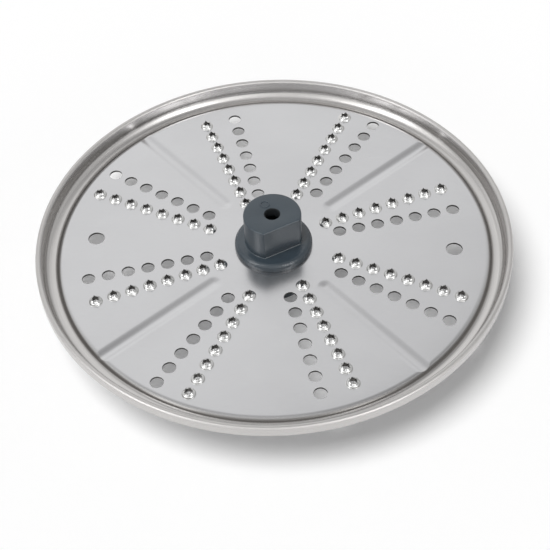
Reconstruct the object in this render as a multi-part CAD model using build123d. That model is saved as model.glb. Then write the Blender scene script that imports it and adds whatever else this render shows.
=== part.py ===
from build123d import *
import math
import os

# Food processor grating disc: one pressed steel sheet and the plastic hub moulded through its centre.
# Millimetres, +Z up the drive axis, Z 0 at the foot of the hub, plain locating holes on the X axis.

# Sheet and its height on the hub
DISC_DIAMETER = 180.0
SHEET = 0.8
PLATE_TOP = 19.0

# Rim, from the plate outwards: gutter, upstand and lip hemmed over to a short outer skirt
RIM_WIDTH = 8.5
GUTTER_DEPTH = 1.5
GUTTER_SLOPE_RUN = 1.5
UPSTAND_RUN = 1.0
LIP_HEIGHT = 5.6
HEM_GAP = 0.4
SKIRT_DROP = 4.0
EDGE_BEND = 3.2
FOOT_BEND = 1.8
UPSTAND_BEND = 3.4

# Radial stiffening grooves that run out into the gutter
GROOVE_COUNT = 4
GROOVE_WIDTH = 6.2
GROOVE_FLOOR = 1.4
GROOVE_STEP = 0.8
GROOVE_HUB_MARGIN = 11.2

# Rows of holes and teeth
ROWS = 8
ROW_ANGLE = 17.0
HOLES_PER_ROW = 7
HOLE_DIAMETER = 5.0
HOLE_HUB_MARGIN = 11.2
HOLE_RIM_MARGIN = 3.25
TEETH_PER_ROW = 8
TOOTH_LEAD_ANGLE = 7.4
TOOTH_ROW_OFFSET = 2.7
TOOTH_HUB_MARGIN = 7.55
TOOTH_RIM_MARGIN = 3.9
LOCATING_HOLE_DIAMETER = 6.3
LOCATING_HOLE_MARGIN = 11.7

# One punched tooth: a torn crown round a flared hole
CROWN_POINTS = 4
CROWN_BASE_DIAMETER = 4.7
CROWN_TIP_DIAMETER = 2.5
CROWN_NOTCH_DIAMETER = 3.2
CROWN_HEIGHT = 2.3
CROWN_NOTCH_HEIGHT = 1.0
CROWN_THROAT_DIAMETER = 3.6

# Hub
FLANGE_DIAMETER = 29.6
FLANGE_HEIGHT = 3.0
FLANGE_ROUND = 2.0
LOWER_FLANGE_HEIGHT = 2.6
SLEEVE_DIAMETER = 24.0
BOSS_DIAMETER = 21.8
BOSS_HEIGHT = 16.2
BOSS_FLAT_DEPTH = 3.1
BOSS_FLAT_ANGLE = 302.0
BOSS_ROUND = 0.6
WAIST_DIAMETER = 18.0
WAIST_FLAT_DEPTH = 1.5
BORE_DIAMETER = 12.0
BORE_ROOF = 4.0
BORE_CHAMFER = 0.8
KEYWAY_WIDTH = 3.6
KEYWAY_DEPTH = 1.5
TOP_HOLE_DIAMETER = 5.8

# Sizes that follow from the ones above
disc_radius = DISC_DIAMETER / 2
slope_head = disc_radius - RIM_WIDTH
slope_half_turn = math.atan2(GUTTER_DEPTH, GUTTER_SLOPE_RUN) / 2
edge_reach = EDGE_BEND * math.tan(slope_half_turn)
plate_edge = slope_head - edge_reach
plate_under = PLATE_TOP - SHEET
lip_width = 2 * SHEET + HEM_GAP
lip_top = PLATE_TOP + LIP_HEIGHT
gutter_floor = PLATE_TOP - GUTTER_DEPTH
slope_foot = slope_head + GUTTER_SLOPE_RUN
upstand_foot = disc_radius - lip_width - UPSTAND_RUN
flange_radius = FLANGE_DIAMETER / 2

# Bends of the gutter, each no longer than the run of sheet that it has
slope_room = 0.95 * (math.hypot(GUTTER_DEPTH, GUTTER_SLOPE_RUN) - edge_reach)
foot_reach = min(FOOT_BEND * math.tan(slope_half_turn), slope_room)
foot_bend = foot_reach / math.tan(slope_half_turn)
upstand_half_turn = math.atan2(LIP_HEIGHT + GUTTER_DEPTH, UPSTAND_RUN) / 2
floor_room = 0.95 * (upstand_foot - slope_foot - foot_reach)
upstand_reach = min(UPSTAND_BEND * math.tan(upstand_half_turn), floor_room)
upstand_bend = upstand_reach / math.tan(upstand_half_turn)


def at(radius, height):
    """A point of the rim section."""
    return Vector(radius, 0, height)


def turn_of(a, b, c):
    """Positive where the section turns left on its way outwards."""
    return (b.X - a.X) * (c.Z - b.Z) - (b.Z - a.Z) * (c.X - b.X)


def bent_line(points, radii):
    """Straight runs joined by bends of the given radii."""
    edges = []
    start = points[0]
    for before, corner, after, radius in zip(points, points[1:], points[2:], radii):
        back = (before - corner).normalized()
        ahead = (after - corner).normalized()
        half = math.acos(max(-1.0, min(1.0, back.dot(ahead)))) / 2
        reach = radius / math.tan(half)
        middle = corner + (back + ahead).normalized() * (radius / math.sin(half) - radius)
        edges.append(Line(start, corner + back * reach))
        edges.append(ThreePointArc(corner + back * reach, middle, corner + ahead * reach))
        start = corner + ahead * reach
    edges.append(Line(start, points[-1]))
    return edges


def lowered(points, distance):
    """The same run of points moved squarely to the right of its direction."""
    normals = []
    for a, b in zip(points, points[1:]):
        run = (b - a).normalized()
        normals.append(Vector(run.Z, 0, -run.X))
    moved = [points[0] + normals[0] * distance]
    for point, n1, n2 in zip(points[1:], normals, normals[1:]):
        moved.append(point + (n1 + n2) * (distance / (1 + n1.dot(n2))))
    moved.append(points[-1] + normals[-1] * distance)
    return moved


# Pressed sheet: the upper face of the section, bent, and its lower face one sheet below
upper = [
    at(WAIST_DIAMETER / 4, PLATE_TOP),
    at(slope_head, PLATE_TOP),
    at(slope_foot, gutter_floor),
    at(upstand_foot, gutter_floor),
    at(disc_radius - lip_width, lip_top),
    at(disc_radius, lip_top),
    at(disc_radius, lip_top - SKIRT_DROP),
]
hem_bend = SHEET + 0.45 * HEM_GAP
upper_bends = [EDGE_BEND, foot_bend, upstand_bend, hem_bend, hem_bend]
lower_bends = []
for i, bend in enumerate(upper_bends):
    left = turn_of(upper[i], upper[i + 1], upper[i + 2]) > 0
    lower_bends.append(bend + SHEET if left else bend - SHEET)
lower = lowered(upper, SHEET)
upper_edges = bent_line(upper, upper_bends)
lower_edges = bent_line(lower, lower_bends)
ends = [Line(upper[0], lower[0]), Line(upper[-1], lower[-1])]
section = make_face(upper_edges + lower_edges + ends)
sheet = revolve(section, Axis.Z)

# Space over the sheet, used to stop the ribs at its upper face
ceiling = lip_top + LIP_HEIGHT
over = [Line(upper[0], at(upper[0].X, ceiling)), Line(at(upper[0].X, ceiling), at(disc_radius, ceiling))]
over.append(Line(at(disc_radius, ceiling), upper[-1]))
air = revolve(make_face(upper_edges + over), Axis.Z)

# Grooves: pressed down, so each is a sloped slot above and the matching rib below
groove_depth = GUTTER_DEPTH - GROOVE_STEP
groove_slope = math.atan2((GROOVE_WIDTH - GROOVE_FLOOR) / 2, groove_depth)
rib_spread = SHEET * math.tan((math.pi / 2 - groove_slope) / 2)
groove_start = flange_radius + GROOVE_HUB_MARGIN
groove_end = upstand_foot
floor_middle = (slope_foot + foot_reach + upstand_foot - upstand_reach) / 2


def sloped_slot(top, depth, grow):
    """A slot along X whose walls close in as they go down."""
    width = GROOVE_WIDTH + 2 * grow
    length = groove_end + width - (groove_start - grow)
    outline = SlotOverall(length, width)
    middle = groove_start - grow + length / 2
    face = Location((middle, 0, top)) * outline
    return extrude(face, amount=depth, dir=(0, 0, -1), taper=math.degrees(groove_slope))


rib = sloped_slot(plate_under, groove_depth, rib_spread) & Cylinder(floor_middle, 4 * lip_top)
rib = rib - air
slot = sloped_slot(PLATE_TOP, groove_depth, 0) & Cylinder(floor_middle, 4 * lip_top)
groove_turns = [45 + 360 / GROOVE_COUNT * n for n in range(GROOVE_COUNT)]
sheet = sheet.fuse(*[Rotation(0, 0, a) * rib for a in groove_turns])
sheet = sheet.cut(*[Rotation(0, 0, a) * slot for a in groove_turns])

# Row stations: each row starts a part pitch further out, and opposite rows match
hole_inner = flange_radius + HOLE_HUB_MARGIN
hole_outer = plate_edge - HOLE_RIM_MARGIN
hole_pitch = (hole_outer - hole_inner) / (HOLES_PER_ROW - 1 + 0.75)
tooth_inner = flange_radius + TOOTH_HUB_MARGIN
tooth_outer = plate_edge - TOOTH_RIM_MARGIN
tooth_pitch = (tooth_outer - tooth_inner) / (TEETH_PER_ROW - 1 + 0.75)
row_steps = [0, 3, 1, 2]
holes = []
teeth = []
for row in range(ROWS):
    turn = ROW_ANGLE + 360 / ROWS * row
    shift = row_steps[row % 4] / 4
    for n in range(HOLES_PER_ROW):
        holes.append(Rotation(0, 0, turn) * Location((hole_inner + (n + shift) * hole_pitch, 0, PLATE_TOP)))
    for n in range(TEETH_PER_ROW):
        along = tooth_inner + (n + shift) * tooth_pitch
        teeth.append(Rotation(0, 0, turn + TOOTH_LEAD_ANGLE) * Location((along, TOOTH_ROW_OFFSET, PLATE_TOP)))


def ring(diameter, height):
    """Corner points of one level of a tooth."""
    corners = []
    for i in range(2 * CROWN_POINTS):
        a = math.pi * i / CROWN_POINTS
        corners.append(Vector(diameter / 2 * math.cos(a), diameter / 2 * math.sin(a), height))
    return corners


# Torn edge of a tooth: tips and notches by turns
tips = ring(CROWN_TIP_DIAMETER, CROWN_HEIGHT)
notches = ring(CROWN_NOTCH_DIAMETER, CROWN_NOTCH_HEIGHT)
crest = [tips[i] if i % 2 == 0 else notches[i] for i in range(2 * CROWN_POINTS)]


def crowned(base, middle):
    """Solid from a base ring up to the torn edge, closed over by faces that meet at a middle point."""
    faces = [Face(Wire.make_polygon(base))]
    for i in range(2 * CROWN_POINTS):
        j = (i + 1) % (2 * CROWN_POINTS)
        tip, notch = (i, j) if i % 2 == 0 else (j, i)
        faces.append(Face(Wire.make_polygon([base[i], base[j], crest[notch]])))
        faces.append(Face(Wire.make_polygon([base[tip], crest[i], crest[j]])))
        faces.append(Face(Wire.make_polygon([crest[i], crest[j], middle])))
    return Solid(Shell(faces))


# Punched tooth: a flared foot let into the sheet, hollowed from the torn edge down to a wider throat
foot_depth = SHEET / 2
flare = (CROWN_BASE_DIAMETER - CROWN_NOTCH_DIAMETER) / CROWN_NOTCH_HEIGHT * foot_depth
tooth = crowned(ring(CROWN_BASE_DIAMETER + flare, -foot_depth), Vector(0, 0, 0))
throat = crowned(ring(CROWN_THROAT_DIAMETER, -1.25 * SHEET), Vector(0, 0, 2 * CROWN_HEIGHT))

sheet = sheet.fuse(*[place * tooth for place in teeth])
punch = Cylinder(HOLE_DIAMETER / 2, 6 * SHEET)
locating = Cylinder(LOCATING_HOLE_DIAMETER / 2, 6 * SHEET)
locating_radius = plate_edge - LOCATING_HOLE_MARGIN
cuts = [place * throat for place in teeth]
cuts += [place * punch for place in holes]
cuts += [Location((side * locating_radius, 0, PLATE_TOP)) * locating for side in (1, -1)]


def waist(height):
    """Centre of the hub where it passes through the sheet, flattened so that it can't turn."""
    across = WAIST_DIAMETER - 2 * WAIST_FLAT_DEPTH
    return Cylinder(WAIST_DIAMETER / 2, height) & Box(WAIST_DIAMETER, across, height)


cuts.append(Location((0, 0, PLATE_TOP)) * waist(6 * SHEET))
sheet = sheet.cut(*cuts)

# Hub: sleeve, lower flange, waist, upper flange and the tall boss with one flat side
boss_top = PLATE_TOP + BOSS_HEIGHT
up = (Align.CENTER, Align.CENTER, Align.MIN)
sleeve = Cylinder(SLEEVE_DIAMETER / 2, plate_under, align=up)
sleeve = chamfer(sleeve.edges().sort_by(Axis.Z)[0], BORE_CHAMFER / 2)
lower_flange = Cylinder(flange_radius, LOWER_FLANGE_HEIGHT, align=up)
lower_flange = Location((0, 0, plate_under - LOWER_FLANGE_HEIGHT)) * lower_flange
flange = Cylinder(flange_radius, FLANGE_HEIGHT, align=up)
flange = fillet(flange.edges().sort_by(Axis.Z)[-1], FLANGE_ROUND)
flange = Location((0, 0, PLATE_TOP)) * flange
boss_radius = BOSS_DIAMETER / 2
boss = Cylinder(boss_radius, BOSS_HEIGHT, align=up)
shave = Location((boss_radius - BOSS_FLAT_DEPTH, 0, FLANGE_HEIGHT)) * Box(
    BOSS_DIAMETER, BOSS_DIAMETER, BOSS_HEIGHT, align=(Align.MIN, Align.CENTER, Align.MIN)
)
boss = boss - shave
boss = fillet(boss.faces().sort_by(Axis.Z)[-1].edges(), BOSS_ROUND)
boss = Location((0, 0, PLATE_TOP), (0, 0, BOSS_FLAT_ANGLE)) * boss
neck = Location((0, 0, plate_under + SHEET / 2)) * waist(SHEET)
hub = sleeve.fuse(lower_flange, neck, flange, boss)

# Drive bore from below with two keyways, and the small hole through its roof
bore_depth = boss_top - BORE_ROOF
bore = Cylinder(BORE_DIAMETER / 2, bore_depth, align=up)
key_span = BORE_DIAMETER + 2 * KEYWAY_DEPTH
keyway = Rotation(0, 0, BOSS_FLAT_ANGLE + 90) * Box(key_span, KEYWAY_WIDTH, bore_depth, align=up)
mouth = Cone(BORE_DIAMETER / 2 + BORE_CHAMFER, BORE_DIAMETER / 2, BORE_CHAMFER, align=up)
top_hole = Cylinder(TOP_HOLE_DIAMETER / 2, boss_top + SHEET, align=up)
hub = hub.cut(bore, keyway, mouth, top_hole)

os.makedirs("parts", exist_ok=True)
export_step(sheet, "parts/grating_disc.step")
export_step(hub, "parts/drive_hub.step")
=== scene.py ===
import bpy
import math
import numpy as np
from mathutils import Matrix, Vector


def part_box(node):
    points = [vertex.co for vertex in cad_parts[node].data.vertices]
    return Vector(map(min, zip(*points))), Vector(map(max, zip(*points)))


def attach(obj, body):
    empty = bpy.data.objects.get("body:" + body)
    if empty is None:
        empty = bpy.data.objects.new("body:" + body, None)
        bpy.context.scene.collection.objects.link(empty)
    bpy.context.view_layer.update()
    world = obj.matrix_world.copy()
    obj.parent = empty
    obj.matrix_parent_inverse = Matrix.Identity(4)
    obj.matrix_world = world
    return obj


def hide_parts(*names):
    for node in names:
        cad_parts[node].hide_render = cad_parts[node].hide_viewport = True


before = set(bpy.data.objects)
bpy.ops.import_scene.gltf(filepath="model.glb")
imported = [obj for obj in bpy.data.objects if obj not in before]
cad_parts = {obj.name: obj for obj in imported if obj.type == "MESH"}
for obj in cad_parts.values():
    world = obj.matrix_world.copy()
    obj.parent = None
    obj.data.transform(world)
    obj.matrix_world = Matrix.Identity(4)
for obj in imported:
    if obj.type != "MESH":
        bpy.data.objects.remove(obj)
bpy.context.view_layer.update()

# Pressed sheet: one blank of 0.8 mm stainless steel, drawn in a die into a flat plate with four
# stiffening grooves, a gutter and a steep upstand. Its edge is hemmed over to a short skirt, and
# the rim is brushed on a lathe, so its scratches run round the disc.
mm = 0.001
disc_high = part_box("grating_disc")[1]
disc_radius = disc_high.x
lip_top = disc_high.z
gauge = 0.8 * mm
dish_depth = 5.6 * mm
gutter_depth = 1.5 * mm
slope_run = 1.5 * mm
rim_width = 8.5 * mm
upstand_lean = 1.0 * mm
lip_width = 2.0 * mm
skirt_height = 4.0 * mm
waist_radius = 9.0 * mm
plate_top = lip_top - dish_depth
gutter_floor = plate_top - gutter_depth
lip_inner = disc_radius - lip_width
upstand_foot = lip_inner - upstand_lean
slope_head = disc_radius - rim_width
slope_foot = slope_head + slope_run
skirt_end = lip_top - skirt_height
rim_corners = [
    (waist_radius, plate_top),
    (slope_head, plate_top),
    (slope_foot, gutter_floor),
    (upstand_foot, gutter_floor),
    (lip_inner, lip_top),
    (disc_radius, lip_top),
    (disc_radius, skirt_end),
]
plate_bend = 3.2 * mm
gutter_bend = 1.8 * mm
upstand_bend = 3.4 * mm
hem_bend = 0.98 * mm
rim_bends = [plate_bend, gutter_bend, upstand_bend, hem_bend, hem_bend]
bend_steps = 10
groove_count = 4
groove_start = 26.0 * mm
groove_half_width = 3.5 * mm
groove_depth = 0.7 * mm
groove_hub_share = 0.65
groove_fade_length = 3.0 * mm
groove_band = 4.2 * mm
band_columns = 23
plain_columns = 77
end_ring_lead = 0.8 * mm
end_ring_reach = 6.0 * mm
end_ring_count = 28
run_ring_lead = 8.0 * mm
run_ring_count = 6
meeting_sharpness = 6.0


def ease(t):
    """Soft step from 0 to 1."""
    t = np.clip(t, 0.0, 1.0)
    return t * t * (3.0 - 2.0 * t)


def bent_section(corners, bends, steps):
    """Points of a section from its second run on: straight runs joined by round bends."""
    corners = [np.array(c) for c in corners]
    points = []
    for before, corner, after, bend in zip(corners, corners[1:], corners[2:], bends):
        back = (before - corner) / np.linalg.norm(before - corner)
        ahead = (after - corner) / np.linalg.norm(after - corner)
        half = math.acos(np.dot(back, ahead)) / 2
        sweep = math.pi - 2 * half
        centre = corner + (back + ahead) / np.linalg.norm(back + ahead) * bend / math.sin(half)
        first_spoke = corner + back * bend / math.tan(half) - centre
        last_spoke = corner + ahead * bend / math.tan(half) - centre
        for t in np.linspace(0.0, 1.0, steps + 1):
            spoke = first_spoke * math.sin((1 - t) * sweep) + last_spoke * math.sin(t * sweep)
            points.append(centre + spoke / math.sin(sweep))
    points.append(corners[-1])
    return np.array(points)


band_across = np.linspace(-groove_band, groove_band, band_columns)


def ring_of_columns(radius):
    """Angle of each column at one radius: lines along the grooves, even spokes between them."""
    share = np.linspace(0.0, 1.0, plain_columns + 2)[1:-1]
    pitch = 2 * math.pi / groove_count
    edge = math.asin(groove_band / radius)
    angles = []
    for groove in range(groove_count):
        middle = pitch * (groove + 0.5)
        angles.append(middle + np.arcsin(band_across / radius))
        angles.append(middle + edge + share * (pitch - 2 * edge))
    return np.concatenate(angles)


rim_section = bent_section(rim_corners, rim_bends, bend_steps)
plate_edge = rim_section[0][0]
end_first = groove_start - end_ring_lead
end_last = groove_start + end_ring_reach
end_rings = np.linspace(end_first, end_last, end_ring_count)
run_rings = np.linspace(groove_start + run_ring_lead, plate_edge, run_ring_count)[:-1]
plate_rings = np.concatenate([[waist_radius], end_rings, run_rings])
ring_radii = np.concatenate([plate_rings, rim_section[:, 0]])
ring_heights = np.concatenate([np.full(len(plate_rings), plate_top), rim_section[:, 1]])

angles = np.array([ring_of_columns(radius) for radius in ring_radii])
off_groove = np.full(plain_columns, disc_radius)
column_across = np.tile(np.concatenate([band_across, off_groove]), groove_count)
along = np.sqrt(np.maximum(ring_radii[:, None] ** 2 - column_across ** 2, 0.0))
heel = groove_start + groove_half_width
from_middle = np.hypot(np.minimum(along - heel, 0.0), column_across)
flank = 1.0 - from_middle / groove_half_width
fade = 1.0 - ease((ring_radii - slope_head) / groove_fade_length)
rim_share = np.clip((ring_radii - groove_start) / (slope_head - groove_start), 0.0, 1.0)
pressed = groove_depth * (groove_hub_share + (1.0 - groove_hub_share) * rim_share) * fade
groove_drop = pressed[:, None] * ease(flank)
rim_drop = np.maximum(plate_top - ring_heights, 0.0)[:, None]
both_drops = rim_drop ** meeting_sharpness + groove_drop ** meeting_sharpness
drop = both_drops ** (1.0 / meeting_sharpness)
heights = ring_heights[:, None] - (drop - rim_drop)
upper_x = ring_radii[:, None] * np.cos(angles)
upper_y = ring_radii[:, None] * np.sin(angles)
upper = np.stack([upper_x, upper_y, heights], axis=-1)
outwards = np.gradient(upper, axis=0)
around = np.roll(upper, -1, axis=1) - np.roll(upper, 1, axis=1)
normals = np.cross(outwards, around)
normals /= np.linalg.norm(normals, axis=-1, keepdims=True)
lower = upper - gauge * normals


def closed_faces(rings, columns):
    """Quads round a closed section: from each ring of points to the next, and last to first."""
    ring, column = np.meshgrid(np.arange(rings), np.arange(columns), indexing="ij")
    onward = (ring + 1) % rings
    after = (column + 1) % columns
    corners = [ring * columns + column, onward * columns + column]
    corners += [onward * columns + after, ring * columns + after]
    return np.stack(corners, axis=-1).reshape(-1, 4).tolist()


def new_piece(name, points, faces):
    """A mesh object at the origin, linked to the scene."""
    mesh = bpy.data.meshes.new(name)
    mesh.from_pydata(np.asarray(points).reshape(-1, 3).tolist(), [], faces)
    piece = bpy.data.objects.new(name, mesh)
    bpy.context.scene.collection.objects.link(piece)
    return piece


ring_count, column_count = upper.shape[:2]
sheet_points = np.concatenate([upper, lower[::-1]])
sheet_blank = new_piece("sheet_blank", sheet_points, closed_faces(2 * ring_count, column_count))

plate_tones = (0.56, 0.56, 0.57, 1.0), (0.605, 0.605, 0.615, 1.0)
rim_tones = (0.52, 0.507, 0.498, 1.0), (0.63, 0.615, 0.603, 1.0)
# Painted shade for the slope from the plate down into the gutter.
slope_shade_tone = (0.12, 0.113, 0.106, 1.0)
# Darker tone of the steep walls of the holes.
hole_wall_tone = (0.08, 0.078, 0.075, 1.0)
plate_roughness = 0.19, 0.27
rim_roughness = 0.16, 0.34
lip_roughness = 0.42
sheared_roughness = 0.5
rolling_scale = (420.0, 5200.0, 400.0)
brushing_scale = (3600.0, 3600.0, 0.0)
brushing_turns = 2.2
cloud_scale = 38.0
smudge_scale = (24.0, 34.0, 24.0)
smudge_span = 0.35, 0.70
smudge_gain = 1.01, 0.975
lip_rub_from = lip_top - 1.4 * mm
lip_rub_to = lip_top - 0.6 * mm
# Where the painted shade on the gutter's slope starts, where it is full, and how strong it is.
slope_shade_outer = 1.0 * mm
slope_shade_inner = 0.2 * mm
slope_shade_share = 0.85
upright_span = 0.55, 0.25
scratch_strength = 0.35
scratch_depth = 0.006 * mm


def feed(tree, node, inputs):
    """Sets or links a node's inputs."""
    for key, value in inputs.items():
        if isinstance(value, bpy.types.NodeSocket):
            tree.links.new(value, node.inputs[key])
        else:
            node.inputs[key].default_value = value


def put(tree, kind, inputs, **settings):
    """Adds a node with its settings, feeds its inputs and gives its outputs."""
    made = tree.nodes.new(kind)
    for key, value in settings.items():
        setattr(made, key, value)
    feed(tree, made, inputs)
    return made.outputs


def worked(tree, operation, *numbers):
    """Result of a sum on one or two numbers."""
    return put(tree, "ShaderNodeMath", dict(enumerate(numbers)), operation=operation)[0]


def vectors(tree, operation, *points):
    """Results of a sum on one or two points."""
    return put(tree, "ShaderNodeVectorMath", dict(enumerate(points)), operation=operation)


def spread(tree, share, low, high):
    """Even change from low to high over a share from 0 to 1."""
    ends = {"Value": share, "To Min": low, "To Max": high}
    return put(tree, "ShaderNodeMapRange", ends)["Result"]


def soft_step(tree, value, start, end, low=0.0, high=1.0):
    """Soft change from low to high as a value goes from start to end."""
    ends = {"Value": value, "From Min": start, "From Max": end, "To Min": low, "To Max": high}
    return put(tree, "ShaderNodeMapRange", ends, interpolation_type="SMOOTHSTEP")["Result"]


def between(tree, share, first, second):
    """Number that goes from the first to the second over a share."""
    return put(tree, "ShaderNodeMix", {"Factor": share, "A": first, "B": second})["Result"]


def tint(tree, share, first, second, blend_type="MIX"):
    """Colour that goes from the first to the second over a share."""
    colours = {"Factor": share, "A": first, "B": second}
    return put(tree, "ShaderNodeMix", colours, data_type="RGBA", blend_type=blend_type)["Result"]


def noise(tree, place, scale, detail, **more):
    """Cloudy pattern from 0 to 1."""
    pattern = {"Vector": place, "Scale": scale, "Detail": detail, **more}
    return put(tree, "ShaderNodeTexNoise", pattern)["Fac"]


def stretched_noise(tree, place, scale, detail):
    """Cloudy pattern with a scale of its own along each axis."""
    stretched = put(tree, "ShaderNodeMapping", {"Vector": place, "Scale": scale})["Vector"]
    return noise(tree, stretched, 1.0, detail)


def relief(tree, height, strength, depth, **under):
    """Surface direction over a pattern of small heights."""
    bump = {"Height": height, "Strength": strength, "Distance": depth, **under}
    return put(tree, "ShaderNodeBump", bump)["Normal"]


def from_axis(tree, place):
    """Distance from the drive axis."""
    flat = vectors(tree, "MULTIPLY", place, (1.0, 1.0, 0.0))["Vector"]
    return vectors(tree, "LENGTH", flat)["Value"]


def new_finish(name):
    """A node material with its tree, its shader and the coordinates of its piece."""
    material = bpy.data.materials.new(name)
    material.use_nodes = True
    tree = material.node_tree
    return material, tree, tree.nodes["Principled BSDF"], put(tree, "ShaderNodeTexCoord", {})


def satin_steel():
    """Stainless sheet: rolling grain on the plate and lathe brushing on the rim, faint smudges,
    a rubbed lip, painted shade on the gutter's slope, and darker, rougher walls of the holes."""
    material, tree, shader, coordinates = new_finish("satin_steel")
    place = coordinates["Object"]
    axes = put(tree, "ShaderNodeSeparateXYZ", {"Vector": place})
    radius = from_axis(tree, place)
    on_rim = soft_step(tree, radius, plate_edge, slope_foot)

    angle = worked(tree, "ARCTAN2", axes["Y"], axes["X"])
    slow_angle = worked(tree, "MULTIPLY", angle, brushing_turns)
    section_place = put(tree, "ShaderNodeCombineXYZ", {"X": radius, "Y": axes["Z"]})["Vector"]
    section_scaled = vectors(tree, "MULTIPLY", section_place, brushing_scale)["Vector"]
    turned = put(tree, "ShaderNodeCombineXYZ", {"Z": slow_angle})["Vector"]
    brush_at = vectors(tree, "ADD", section_scaled, turned)["Vector"]
    brush = noise(tree, brush_at, 1.0, detail=4.0, Roughness=0.65)
    grain = stretched_noise(tree, place, rolling_scale, detail=3.0)
    cloud = noise(tree, place, cloud_scale, detail=2.0)
    scratch = between(tree, on_rim, grain, brush)

    # The steep faces off the rim, the walls of the holes, get a darker colour and a rougher face.
    facing = put(tree, "ShaderNodeSeparateXYZ", {"Vector": coordinates["Normal"]})["Z"]
    slant = worked(tree, "ABSOLUTE", facing)
    steep, upright = upright_span
    wall_span = {"Value": slant, "From Min": steep, "From Max": upright}
    on_wall = put(tree, "ShaderNodeMapRange", wall_span)["Result"]
    off_rim = worked(tree, "SUBTRACT", 1.0, on_rim)
    on_hole_wall = worked(tree, "MULTIPLY", on_wall, off_rim)

    plate_sheen = spread(tree, cloud, *plate_roughness)
    rim_sheen = spread(tree, brush, *rim_roughness)
    clean_sheen = between(tree, on_rim, plate_sheen, rim_sheen)
    rubbed = soft_step(tree, axes["Z"], lip_rub_from, lip_rub_to)
    sheen = between(tree, rubbed, clean_sheen, lip_roughness)
    rough = between(tree, on_hole_wall, sheen, sheared_roughness)

    plate_tone = tint(tree, grain, *plate_tones)
    rim_tone = tint(tree, brush, *rim_tones)
    wiped_tone = tint(tree, on_rim, plate_tone, rim_tone)
    smudge = stretched_noise(tree, place, smudge_scale, detail=2.0)
    dulled = soft_step(tree, smudge, *smudge_span, *smudge_gain)
    bright_tone = tint(tree, 1.0, wiped_tone, dulled, "MULTIPLY")
    # Painted shade: the colour is darkened across the slope from the plate down into the gutter.
    off_slope = worked(tree, "SUBTRACT", radius, (slope_head + slope_foot) / 2)
    off_slope = worked(tree, "ABSOLUTE", off_slope)
    painted_slope_shade = soft_step(tree, off_slope, slope_shade_outer, slope_shade_inner, 0.0, slope_shade_share)
    face_tone = tint(tree, painted_slope_shade, bright_tone, slope_shade_tone)
    feed(tree, shader, {
        "Metallic": 1.0,
        "Base Color": tint(tree, on_hole_wall, face_tone, hole_wall_tone),
        "Roughness": rough,
        "Normal": relief(tree, scratch, scratch_strength, scratch_depth),
    })
    return material


steel = satin_steel()

# Punched holes: eight rows of seven round holes and two larger plain holes opposite each other,
# punched through the sheet from above, so the upper edge of each is rolled over a little. The
# places of the teeth are opened in the same way, a little smaller than the feet that fill them.
row_count = 8
row_turn = math.radians(17.0)
row_steps = [0, 3, 1, 2]
row_shifts = [step / len(row_steps) for step in row_steps]
hub_flange_radius = 14.8 * mm
hole_diameter = 5.0 * mm
holes_per_row = 7
hole_hub_margin = 11.2 * mm
hole_rim_margin = 3.25 * mm
hole_edge_roll = 0.06 * mm
locating_diameter = 6.3 * mm
locating_rim_margin = 11.7 * mm
locating_edge_roll = 0.08 * mm
teeth_per_row = 8
tooth_lead = math.radians(7.4)
tooth_offset = 2.7 * mm
tooth_hub_margin = 7.55 * mm
tooth_rim_margin = 3.9 * mm
tooth_foot_radius = 2.72 * mm
foot_lap = 0.02 * mm
seat_edge_roll = 0.002 * mm
punch_sides = 40
punch_stroke = 6.0
sheet_crease = math.radians(32.0)
hole_first = hub_flange_radius + hole_hub_margin
hole_last = plate_edge - hole_rim_margin
hole_pitch = (hole_last - hole_first) / (holes_per_row - 1 + max(row_shifts))
tooth_first = hub_flange_radius + tooth_hub_margin
tooth_last = plate_edge - tooth_rim_margin
tooth_pitch = (tooth_last - tooth_first) / (teeth_per_row - 1 + max(row_shifts))
locating_radius = plate_edge - locating_rim_margin
hole_places = []
tooth_places = []
tooth_turns = []
for row in range(row_count):
    turn = row_turn + 2 * math.pi / row_count * row
    shift = row_shifts[row % len(row_shifts)]
    for n in range(holes_per_row):
        spot = Vector((hole_first + (n + shift) * hole_pitch, 0.0, plate_top))
        hole_places.append(Matrix.Rotation(turn, 3, "Z") @ spot)
    for n in range(teeth_per_row):
        spot = Vector((tooth_first + (n + shift) * tooth_pitch, tooth_offset, plate_top))
        tooth_places.append(Matrix.Rotation(turn + tooth_lead, 3, "Z") @ spot)
        tooth_turns.append(turn + tooth_lead)
locating_places = [Vector((side * locating_radius, 0.0, plate_top)) for side in (1, -1)]


def new_tree(name, inputs, output):
    """A Geometry Nodes tree with its named inputs and one output."""
    tree = bpy.data.node_groups.new(name, "GeometryNodeTree")
    for label, kind in inputs.items():
        tree.interface.new_socket(label, in_out="INPUT", socket_type="NodeSocket" + kind)
    tree.interface.new_socket(output, in_out="OUTPUT", socket_type="NodeSocketGeometry")
    return tree, put(tree, "NodeGroupInput", {})


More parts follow.
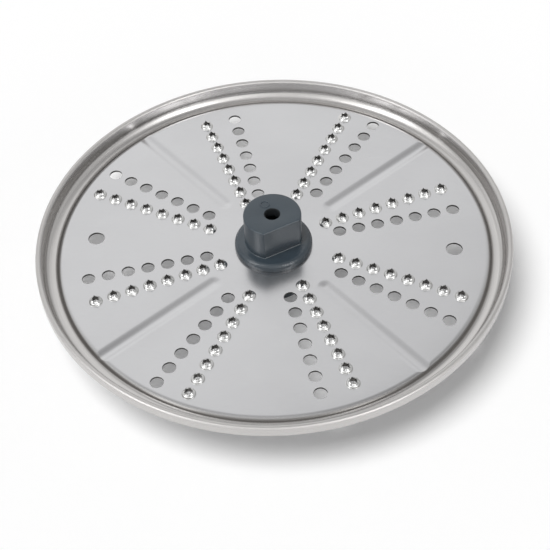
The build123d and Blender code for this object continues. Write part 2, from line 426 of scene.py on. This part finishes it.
def punch_tree():
    """Cuts a round hole with a rolled upper edge at every point of an object."""
    tree, given = new_tree("punch", {
        "Sheet": "Geometry",
        "Places": "Object",
        "Hole diameter": "Float",
        "Edge roll": "Float",
        "Sheet gauge": "Float",
        "Steel": "Material",
    }, "Sheet")
    spots = put(tree, "GeometryNodeObjectInfo", {"Object": given["Places"]})["Geometry"]
    radius = worked(tree, "MULTIPLY", given["Hole diameter"], 0.5)
    roll = given["Edge roll"]
    double_roll = worked(tree, "MULTIPLY", roll, 2.0)
    shank = put(tree, "GeometryNodeMeshCylinder", {
        "Vertices": punch_sides,
        "Radius": radius,
        "Depth": worked(tree, "MULTIPLY", given["Sheet gauge"], punch_stroke),
    })["Mesh"]
    shoulder = put(tree, "GeometryNodeMeshCone", {
        "Vertices": punch_sides,
        "Radius Top": worked(tree, "ADD", radius, double_roll),
        "Radius Bottom": worked(tree, "SUBTRACT", radius, roll),
        "Depth": double_roll,
    })["Mesh"]
    sink = put(tree, "ShaderNodeCombineXYZ", {"Z": worked(tree, "MULTIPLY", roll, -1.0)})["Vector"]
    lowered = {"Geometry": shoulder, "Translation": sink}
    shoulder = put(tree, "GeometryNodeTransform", lowered)["Geometry"]
    cut = given["Sheet"]
    for tool in (shank, shoulder):
        set_out = {"Points": spots, "Instance": tool}
        tools = put(tree, "GeometryNodeInstanceOnPoints", set_out)["Instances"]
        cut = put(
            tree,
            "GeometryNodeMeshBoolean",
            {"Mesh 1": cut, "Mesh 2": tools},
            operation="DIFFERENCE",
            solver="MANIFOLD",
        )["Mesh"]
    plain = put(tree, "GeometryNodeRealizeInstances", {"Geometry": cut})["Geometry"]
    dressing = {"Geometry": plain, "Material": given["Steel"]}
    dressed = put(tree, "GeometryNodeSetMaterial", dressing)["Geometry"]
    put(tree, "NodeGroupOutput", {"Sheet": dressed})
    return tree


def set_inputs(modifier, values):
    """Sets a Geometry Nodes modifier's inputs, found by name, through their identifiers."""
    for item in modifier.node_group.interface.items_tree:
        if item.in_out == "INPUT" and item.name in values:
            modifier[item.identifier] = values[item.name]


def finished_piece(name, blank, crease, spares):
    """A piece with the plain mesh that a blank's modifiers give, once its blanks are removed."""
    made = blank.evaluated_get(bpy.context.evaluated_depsgraph_get())
    mesh = bpy.data.meshes.new_from_object(made)
    mesh.shade_smooth()
    mesh.set_sharp_from_angle(angle=crease)
    for spare in [blank] + spares:
        bpy.data.objects.remove(spare)
    piece = bpy.data.objects.new(name, mesh)
    bpy.context.scene.collection.objects.link(piece)
    return piece


punch = punch_tree()
seat_diameter = 2 * (tooth_foot_radius - foot_lap)
punchings = [
    ("holes", hole_places, hole_diameter, hole_edge_roll),
    ("locating", locating_places, locating_diameter, locating_edge_roll),
    ("tooth_seats", tooth_places, seat_diameter, seat_edge_roll),
]
place_marks = []
for name, places, diameter, edge_roll in punchings:
    marks = new_piece("marks_" + name, places, [])
    place_marks.append(marks)
    cut = sheet_blank.modifiers.new(name, "NODES")
    cut.node_group = punch
    set_inputs(cut, {
        "Places": marks,
        "Hole diameter": diameter,
        "Edge roll": edge_roll,
        "Sheet gauge": gauge,
        "Steel": steel,
    })
pressed_sheet = finished_piece("pressed_sheet", sheet_blank, sheet_crease, place_marks)
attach(pressed_sheet, "root")
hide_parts("grating_disc")

# Teeth: sixty-four crowns punched up through the sheet from below. Each is a round bulge that
# tears open at the top into four flat pointed petals, burnished bright by the punch and sharp
# along the torn edge.
crown_base_radius = 2.48 * mm
crown_tip_radius = 1.2 * mm
crown_notch_radius = 1.62 * mm
crown_height = 2.3 * mm
crown_notch_height = 0.9 * mm
crown_throat_radius = 1.35 * mm
foot_sweep = 0.12 * mm
foot_tuck = 0.03 * mm
foot_rise = 0.04 * mm
foot_height = 0.22 * mm
bulge_height = 0.95 * mm
bulge_share = 0.9
petal_lean = 0.10 * mm
petal_taper = 1.4
torn_edge = 0.10 * mm
torn_bevel = 0.02 * mm
inside_share = 0.6
throat_head = 0.3 * mm
throat_flare = 0.1 * mm
throat_middle = -0.45 * gauge
throat_turn = -0.9 * gauge
throat_round = 0.2 * mm
petals = 4
tooth_columns = 48
stray_turn = math.radians(7.0)
stray_height = 0.03
stray_seed = 11
tooth_crease = math.radians(40.0)
bright_tones = (0.60, 0.60, 0.595, 1.0), (0.78, 0.78, 0.77, 1.0)
bright_roughness = 0.14, 0.30
drag_scale = (5200.0, 5200.0, 500.0)
drag_strength = 0.3
drag_depth = 0.02 * mm
# Tones of the torn inside of the teeth, darkened as painted shade.
torn_and_shade_tones = (0.05, 0.048, 0.046, 1.0), (0.22, 0.212, 0.204, 1.0)
torn_roughness = 0.48
tear_scale = 3000.0
tear_strength = 0.6
tear_depth = 0.05 * mm


def curve_points(controls, steps):
    """Points of a smooth curve drawn towards four control points."""
    t = np.linspace(0.0, 1.0, steps)[:, None, None]
    a, b, c, d = [np.array(control) for control in controls]
    return a * (1 - t) ** 3 + 3 * b * t * (1 - t) ** 2 + 3 * c * t ** 2 * (1 - t) + d * t ** 3


def crown_mesh():
    """One tooth about its own axis, with the sheet's upper face at height zero."""
    turn = np.arange(tooth_columns) * 2 * math.pi / tooth_columns
    wedge = 2 * math.pi / petals
    off_tip = np.abs((turn + wedge / 2) % wedge - wedge / 2)
    to_tip = 1.0 - off_tip / (wedge / 2)
    petal_height = crown_height - crown_notch_height
    crest_radius = np.minimum(crown_tip_radius / np.cos(off_tip), crown_notch_radius)
    crest_height = crown_notch_height + petal_height * to_tip ** petal_taper
    even = np.ones(tooth_columns)

    def level(radius, height):
        return np.stack([radius * even, height * even], axis=-1)

    foot = curve_points([
        level(tooth_foot_radius, 0.0),
        level(tooth_foot_radius - foot_sweep, 0.0),
        level(crown_base_radius + foot_tuck, foot_rise),
        level(crown_base_radius, foot_height),
    ], steps=4)
    wall = curve_points([
        level(crown_base_radius, foot_height),
        level(crown_base_radius - foot_sweep, bulge_height),
        level(crest_radius + petal_lean, np.minimum(bulge_height, bulge_share * crest_height)),
        level(crest_radius, crest_height),
    ], steps=8)[1:]
    inside = curve_points([
        level(crest_radius - torn_edge, crest_height - torn_bevel),
        level(crest_radius - torn_bevel, inside_share * crest_height),
        level(crown_throat_radius + throat_flare, throat_head),
        level(crown_throat_radius, throat_middle),
    ], steps=6)
    throat = curve_points([
        level(crown_throat_radius, throat_middle),
        level(crown_throat_radius, throat_turn),
        level(crown_throat_radius + throat_round, -gauge),
        level(tooth_foot_radius, -gauge),
    ], steps=4)[1:]
    section = np.concatenate([foot, wall, inside, throat])
    spokes = np.stack([np.cos(turn), np.sin(turn)], axis=-1)
    points = np.concatenate([section[..., :1] * spokes, section[..., 1:]], axis=-1)
    rings = len(section)
    faces = [face[::-1] for face in closed_faces(rings, tooth_columns)]
    outer_rings = len(foot) + len(wall) - 1
    torn = [ring >= outer_rings for ring in range(rings) for column in range(tooth_columns)]
    return points, faces, torn


def bright_steel():
    """Burnished steel of the teeth: drawn bright, with drag marks from the punch up its sides."""
    material, tree, shader, coordinates = new_finish("bright_steel")
    drag = stretched_noise(tree, coordinates["Object"], drag_scale, detail=2.0)
    feed(tree, shader, {
        "Metallic": 1.0,
        "Base Color": tint(tree, drag, *bright_tones),
        "Roughness": spread(tree, drag, *bright_roughness),
        "Normal": relief(tree, drag, drag_strength, drag_depth),
    })
    return material


def torn_steel_and_shade():
    """Torn inside of the teeth: dull broken metal, darkened further as painted shade of the
    petals.
    """
    material, tree, shader, coordinates = new_finish("torn_steel_and_shade")
    tear = noise(tree, coordinates["Object"], tear_scale, detail=4.0)
    feed(tree, shader, {
        "Metallic": 1.0,
        # Painted shade: the inside of the petals is coloured darker than the torn steel alone.
        "Base Color": tint(tree, tear, *torn_and_shade_tones),
        "Roughness": torn_roughness,
        "Normal": relief(tree, tear, tear_strength, tear_depth),
    })
    return material


def teeth_tree():
    """Sets one crown at every point, turned with its row and a little by chance."""
    tree, given = new_tree("teeth", {
        "Places": "Geometry",
        "Crown": "Object",
        "Stray turn": "Float",
        "Stray height": "Float",
        "Seed": "Int",
        "Steel": "Material",
        "Torn steel and shade": "Material",
    }, "Teeth")

    def chance(least, most):
        limits = {2: least, 3: most, "Seed": given["Seed"]}
        return put(tree, "FunctionNodeRandomValue", limits, data_type="FLOAT")[1]

    def field(name, data_type):
        named = put(tree, "GeometryNodeInputNamedAttribute", {"Name": name}, data_type=data_type)
        return named["Attribute"]

    crown_shape = {"Object": given["Crown"], "As Instance": True}
    crown = put(tree, "GeometryNodeObjectInfo", crown_shape)["Geometry"]
    least_turn = worked(tree, "MULTIPLY", given["Stray turn"], -1.0)
    stray = chance(least_turn, given["Stray turn"])
    turn = worked(tree, "ADD", field("turn", "FLOAT"), stray)
    euler = put(tree, "ShaderNodeCombineXYZ", {"Z": turn})["Vector"]
    shortest = worked(tree, "SUBTRACT", 1.0, given["Stray height"])
    tallest = worked(tree, "ADD", 1.0, given["Stray height"])
    height = chance(shortest, tallest)
    set_out = put(tree, "GeometryNodeInstanceOnPoints", {
        "Points": given["Places"],
        "Instance": crown,
        "Rotation": put(tree, "FunctionNodeEulerToRotation", {"Euler": euler})["Rotation"],
        "Scale": put(tree, "ShaderNodeCombineXYZ", {"X": 1.0, "Y": 1.0, "Z": height})["Vector"],
    })["Instances"]
    plain = put(tree, "GeometryNodeRealizeInstances", {"Geometry": set_out})["Geometry"]
    bright = put(tree, "GeometryNodeSetMaterial", {
        "Geometry": plain,
        "Material": given["Steel"],
    })["Geometry"]
    dressed = put(tree, "GeometryNodeSetMaterial", {
        "Geometry": bright,
        "Selection": field("torn", "BOOLEAN"),
        "Material": given["Torn steel and shade"],
    })["Geometry"]
    put(tree, "NodeGroupOutput", {"Teeth": dressed})
    return tree


crown_points, crown_faces, crown_torn = crown_mesh()
crown = new_piece("crown", crown_points, crown_faces)
torn_field = crown.data.attributes.new("torn", "BOOLEAN", "FACE")
torn_field.data.foreach_set("value", crown_torn)
tooth_marks = new_piece("tooth_marks", tooth_places, [])
turn_field = tooth_marks.data.attributes.new("turn", "FLOAT", "POINT")
turn_field.data.foreach_set("value", tooth_turns)
setting = tooth_marks.modifiers.new("teeth", "NODES")
setting.node_group = teeth_tree()
set_inputs(setting, {
    "Crown": crown,
    "Stray turn": stray_turn,
    "Stray height": stray_height,
    "Seed": stray_seed,
    "Steel": bright_steel(),
    "Torn steel and shade": torn_steel_and_shade(),
})
punched_teeth = finished_piece("punched_teeth", tooth_marks, tooth_crease, [crown])
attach(punched_teeth, "root")
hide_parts("grating_disc")

# Drive hub: one moulding of slate grey plastic, injected round the flattened centre hole of the
# sheet. A flange grips the sheet on each side, the boss above has one flat side, and the sleeve
# below holds the keyed bore that slides on the spindle.
hub_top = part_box("drive_hub")[1].z
flange_height = 3.0 * mm
flange_round = 2.0 * mm
lower_flange_height = 2.6 * mm
sleeve_radius = 12.0 * mm
boss_radius = 10.9 * mm
flat_depth = 3.1 * mm
flat_turn = math.radians(302.0)
flat_corner_soft = 0.25 * mm
boss_edge = 0.6 * mm
bore_radius = 6.0 * mm
bore_chamfer = 0.8 * mm
bore_roof_gauge = 4.0 * mm
key_half_width = 1.8 * mm
key_depth = 1.5 * mm
top_hole_radius = 2.9 * mm
edge_soft = 0.35 * mm
seat_edge = 0.1 * mm
least_flat_share = 0.05
least_key_share = 0.01
column_step = 2.5
corner_steps = (-2.0, -1.2, -0.6, 0.0, 0.6, 1.2, 2.0)
key_axes = (90.0, 270.0)
hub_crease = math.radians(35.0)
hub_tones = (0.027, 0.039, 0.051, 1.0), (0.037, 0.053, 0.067, 1.0)
# Painted shade for the inside of the top hole and the bore.
bore_shade_tone = (0.005, 0.007, 0.009, 1.0)
flange_roughness = 0.06, 0.15
boss_roughness = 0.26, 0.40
bore_roughness = 0.7
hub_specular = 0.68
spark_scale = 2600.0
spark_strength = 0.12
spark_depth = 0.04 * mm
flow_scale = 160.0
nick_scale = 1300.0
nick_strength = 0.8, 0.15
nick_depth = 0.14 * mm
plate_under = plate_top - gauge
lower_face = plate_under - lower_flange_height
flange_top = plate_top + flange_height
bore_roof = hub_top - bore_roof_gauge
foot_edge = bore_chamfer / 2
bore_dark_from = top_hole_radius + edge_soft
bore_dark_to = top_hole_radius + 0.1 * edge_soft
boss_sheen_from = flange_top + edge_soft
boss_sheen_to = flange_top + 3 * edge_soft
flat_distance = boss_radius - flat_depth
boss_corner = math.acos(flat_distance / boss_radius)
key_side = math.asin(key_half_width / bore_radius)
key_end = math.atan2(key_half_width, bore_radius + key_depth)
hub_marks = list(np.arange(0.0, 360.0, column_step))
for corner in (boss_corner, -boss_corner):
    hub_marks += [math.degrees(corner) + step for step in corner_steps]
for axis in key_axes:
    for side in (1, -1):
        hub_marks += [axis + side * math.degrees(step) for step in (key_end, key_side)]
hub_turns = np.radians(np.unique(np.round(np.mod(hub_marks, 360.0), 3)))
hub_columns = len(hub_turns)
hub_rings = []


def hub_ring(radius, height):
    """Adds one ring of the moulding, round or of any other outline."""
    reach = radius * np.ones(hub_columns)
    turned = hub_turns + flat_turn
    x = reach * np.cos(turned)
    y = reach * np.sin(turned)
    hub_rings.append(np.stack([x, y, np.full(hub_columns, height)], axis=-1))


def boss_outline(grow):
    """Distance from the axis to the boss's side: round, with one flat."""
    from_flat = np.abs((hub_turns + math.pi) % (2 * math.pi) - math.pi)
    chord = (flat_distance + grow) / np.maximum(np.cos(from_flat), least_flat_share)
    side = np.minimum(boss_radius + grow, chord)
    off_corner = np.abs(boss_radius + grow - chord)
    near = np.maximum(flat_corner_soft - off_corner, 0.0) / flat_corner_soft
    return side - near ** 2 * flat_corner_soft / 4


def bore_outline():
    """Distance from the axis to the bore's side: round, with two keyways."""
    from_key = np.abs((hub_turns % math.pi) - math.pi / 2)
    side = key_half_width / np.maximum(np.sin(from_key), least_key_share)
    end = (bore_radius + key_depth) / np.maximum(np.cos(from_key), least_key_share)
    return np.maximum(bore_radius, np.minimum(side, end))


def quarter(steps):
    """Shares of a quarter round: how far along the first run and the second."""
    turns = np.linspace(0.0, math.pi / 2, steps)
    return [(math.sin(t), 1.0 - math.cos(t)) for t in turns]


hub_ring(np.maximum(bore_outline(), bore_radius + bore_chamfer), 0.0)
for out, rise in quarter(steps=4):
    hub_ring(sleeve_radius - foot_edge + foot_edge * out, foot_edge * rise)
for rise, out in quarter(steps=5):
    hub_ring(sleeve_radius + bore_chamfer * out, lower_face - bore_chamfer + bore_chamfer * rise)
for out, rise in quarter(steps=5):
    hub_ring(hub_flange_radius - edge_soft + edge_soft * out, lower_face + edge_soft * rise)
hub_ring(hub_flange_radius, plate_under)
hub_ring(waist_radius, plate_under)
hub_ring(waist_radius, plate_top)
hub_ring(hub_flange_radius - seat_edge, plate_top)
hub_ring(hub_flange_radius, plate_top + seat_edge)
for rise, inn in quarter(steps=10):
    flange_level = flange_top - flange_round + flange_round * rise
    hub_ring(hub_flange_radius - flange_round * inn, flange_level)
for inn, rise in quarter(steps=6):
    hub_ring(boss_outline(edge_soft * (1.0 - inn)), flange_top + edge_soft * rise)
for rise, inn in quarter(steps=8):
    hub_ring(boss_outline(-boss_edge * inn), hub_top - boss_edge + boss_edge * rise)
for inn, fall in quarter(steps=5):
    hub_ring(top_hole_radius + edge_soft * (1.0 - inn), hub_top - edge_soft * fall)
hub_ring(top_hole_radius, bore_roof)
hub_ring(bore_outline(), bore_roof)
hub_ring(bore_outline(), bore_chamfer)
hub_faces = [face[::-1] for face in closed_faces(len(hub_rings), hub_columns)]


def slate_plastic():
    """Moulded plastic: fine spark-eroded grain and faint flow clouds, a flange that is handled to
    a gloss and nicked, a duller boss, and painted shade that darkens the bore."""
    material, tree, shader, coordinates = new_finish("slate_plastic")
    place = coordinates["Object"]
    grain = noise(tree, place, spark_scale, detail=2.0)
    cloud = noise(tree, place, flow_scale, detail=2.0)
    nicks = noise(tree, place, nick_scale, detail=3.0)
    radius = from_axis(tree, place)
    height = put(tree, "ShaderNodeSeparateXYZ", {"Vector": place})["Z"]
    # Painted shade: the colour inside the top hole is darkened, as the hole's own shade.
    painted_bore_shade = soft_step(tree, radius, bore_dark_from, bore_dark_to)
    on_boss = soft_step(tree, height, boss_sheen_from, boss_sheen_to)

    handled = spread(tree, grain, *flange_roughness)
    drawn = spread(tree, grain, *boss_roughness)
    sheen = between(tree, on_boss, handled, drawn)
    wear = spread(tree, on_boss, *nick_strength)
    worn = relief(tree, nicks, wear, nick_depth)
    feed(tree, shader, {
        "Specular IOR Level": hub_specular,
        "Base Color": tint(tree, painted_bore_shade, tint(tree, cloud, *hub_tones), bore_shade_tone),
        "Roughness": between(tree, painted_bore_shade, sheen, bore_roughness),
        "Normal": relief(tree, grain, spark_strength, spark_depth, Normal=worn),
    })
    return material


moulded_hub = new_piece("moulded_hub", hub_rings, hub_faces)
moulded_hub.data.materials.append(slate_plastic())
moulded_hub.data.shade_smooth()
moulded_hub.data.set_sharp_from_angle(angle=hub_crease)
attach(moulded_hub, "root")
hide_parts("drive_hub")

# Witness mark: a small raised ring on top of the boss, moulded in one with the hub. It is left
# round the end of the pin that pushes the hub out of its mould.
mark_turn = math.radians(123.0)
mark_distance = 5.7 * mm
mark_radius = 1.6 * mm
mark_width = 0.6 * mm
mark_height = 0.28 * mm
mark_columns = 40
mark_section = ((-0.5, -1.0), (-0.35, 0.7), (-0.15, 1.0), (0.15, 1.0), (0.35, 0.7), (0.5, -1.0))
mark_turns = np.arange(mark_columns) * 2 * math.pi / mark_columns
mark_rings = []
for aside, rise in mark_section:
    mark_reach = mark_radius + mark_width * aside
    mark_x = mark_distance * math.cos(mark_turn) + mark_reach * np.cos(mark_turns)
    mark_y = mark_distance * math.sin(mark_turn) + mark_reach * np.sin(mark_turns)
    mark_level = np.full(mark_columns, hub_top + mark_height * rise)
    mark_rings.append(np.stack([mark_x, mark_y, mark_level], axis=-1))
mark_faces = closed_faces(len(mark_rings), mark_columns)
witness_mark = new_piece("witness_mark", mark_rings, mark_faces)
witness_mark.data.materials.append(moulded_hub.data.materials[0])
witness_mark.data.shade_smooth()
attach(witness_mark, "root")
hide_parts("drive_hub")

# Table: a plain white sweep under the disc, with a matt face. It keeps the disc's shadow, and
# what the eye, the steel and the holes see of it is lifted towards white.
floor_reach = 3.0
floor_lift = 0.11
floor_tone = (0.90, 0.90, 0.90, 1.0)
white = (1.0, 1.0, 1.0, 1.0)
floor = new_piece("floor", [
    (-floor_reach, -floor_reach, 0.0),
    (floor_reach, -floor_reach, 0.0),
    (floor_reach, floor_reach, 0.0),
    (-floor_reach, floor_reach, 0.0),
], [[0, 1, 2, 3]])
white_sweep = bpy.data.materials.new("white_sweep")
white_sweep.use_nodes = True
sweep = white_sweep.node_tree
sweep.nodes.remove(sweep.nodes["Principled BSDF"])


def seen_directly(tree):
    """One for rays from the eye, from a gloss or through a clear piece."""
    path = put(tree, "ShaderNodeLightPath", {})
    eye_or_gloss = worked(tree, "MAXIMUM", path["Is Camera Ray"], path["Is Glossy Ray"])
    return worked(tree, "MAXIMUM", eye_or_gloss, path["Is Transmission Ray"])


lift = worked(sweep, "MULTIPLY", seen_directly(sweep), floor_lift)
matt = put(sweep, "ShaderNodeBsdfDiffuse", {"Color": floor_tone})["BSDF"]
glow = put(sweep, "ShaderNodeEmission", {"Color": white, "Strength": lift})["Emission"]
surface = put(sweep, "ShaderNodeAddShader", {0: matt, 1: glow})["Shader"]
feed(sweep, sweep.nodes["Material Output"], {"Surface": surface})
floor.data.materials.append(white_sweep)

# Studio: a white room, brightest near the table, and one soft key light high on the near left that
# lays the shadow to the right. The steel mirrors a pale wall behind with darker ones beside it,
# and the hub two tall bright lamps in front, one at each side.
view_turn = math.radians(6.4)
upper_light = 0.18
lower_light = 0.95
upper_light_from = 0.50
lower_light_from = 0.22
wall_tone = 0.66
darkest_wall = 0.05
key_energy = 2.38
key_width = math.radians(36.0)
key_place = (210.0, 69.0)
# Each panel: degrees round and up, cosine at its edge and where it is full, and added light
panels = [
    (90.0, 46.0, 0.76, 0.94, 0.30),
    (122.0, 46.0, 0.80, 0.97, 0.08),
    (25.0, 58.0, 0.80, 0.96, -0.12),
    (52.0, 65.0, 0.930, 0.985, -0.24),
    (127.0, 68.0, 0.950, 0.990, -0.25),
    (98.0, 22.0, 0.930, 0.985, 0.10),
    (143.0, 4.0, 0.90, 0.98, 0.3),
    (255.0, 30.0, 0.60, 0.90, 0.28),
    (205.0, 34.0, 0.80, 0.97, 0.5),
    (306.0, 32.0, 0.80, 0.97, 0.55),
    (208.0, 14.0, 0.980, 0.996, 1.8),
    (208.0, 32.0, 0.980, 0.996, 3.2),
    (208.0, 50.0, 0.980, 0.996, 2.2),
    (312.0, 14.0, 0.980, 0.996, 1.6),
    (312.0, 32.0, 0.980, 0.996, 3.4),
    (312.0, 50.0, 0.980, 0.996, 2.2),
    (90.0, -70.0, 0.08, 0.30, -0.4),
]


def towards(turn, climb):
    """Direction in the room, by degrees round from the camera's right and up from the table."""
    turn = math.radians(turn) + view_turn
    climb = math.radians(climb)
    return (math.cos(turn) * math.cos(climb), math.sin(turn) * math.cos(climb), math.sin(climb))


world = bpy.data.worlds.new("studio")
world.use_nodes = True
bpy.context.scene.world = world
room = world.node_tree
look = put(room, "ShaderNodeTexCoord", {})["Generated"]
mirrored = wall_tone
for turn, climb, edge, full, strength in panels:
    facing = vectors(room, "DOT_PRODUCT", look, towards(turn, climb))["Value"]
    panel = soft_step(room, facing, edge, full, 0.0, strength)
    mirrored = worked(room, "ADD", mirrored, panel)
mirrored = worked(room, "MAXIMUM", mirrored, darkest_wall)
camera_ray = put(room, "ShaderNodeLightPath", {})["Is Camera Ray"]
behind = between(room, camera_ray, mirrored, 1.0)
look_height = put(room, "ShaderNodeSeparateXYZ", {"Vector": look})["Z"]
ambient = soft_step(
    room, look_height, upper_light_from, lower_light_from, upper_light, lower_light
)
shown = between(room, seen_directly(room), ambient, behind)
feed(room, room.nodes["Background"], {"Color": white, "Strength": shown})
key_light = bpy.data.lights.new("key_light", "SUN")
key_light.energy = key_energy
key_light.angle = key_width
key = bpy.data.objects.new("key_light", key_light)
key.rotation_euler = Vector(towards(*key_place)).to_track_quat("Z", "Y").to_euler()
key.visible_glossy = False
bpy.context.scene.collection.objects.link(key)

# Camera: a long lens in front of the disc and well above it, rolled a little. It is aimed a
# little in front of the hub, at the height of the plate, so that the shadow has room below.
aim_aside = -0.13 * mm
aim_ahead = -16.1 * mm
camera_distance = 505.4 * mm
camera_climb = math.radians(48.26)
camera_roll = math.radians(3.03)
sensor_width = 36.0
focal_length = 88.54
lens = bpy.data.cameras.new("camera")
lens.sensor_width = sensor_width
lens.lens = focal_length
camera = bpy.data.objects.new("camera", lens)
aim = Matrix.Rotation(view_turn, 3, "Z") @ Vector((aim_aside, aim_ahead, plate_top))
facing_turn = Matrix.Translation(aim) @ Matrix.Rotation(view_turn, 4, "Z")
tilt = Matrix.Rotation(math.pi / 2 - camera_climb, 4, "X") @ Matrix.Rotation(-camera_roll, 4, "Z")
stand_off = Matrix.Translation((0.0, 0.0, camera_distance))
camera.matrix_world = facing_turn @ tilt @ stand_off
bpy.context.scene.collection.objects.link(camera)
bpy.context.scene.camera = camera
bpy.context.scene.view_settings.view_transform = "Standard"
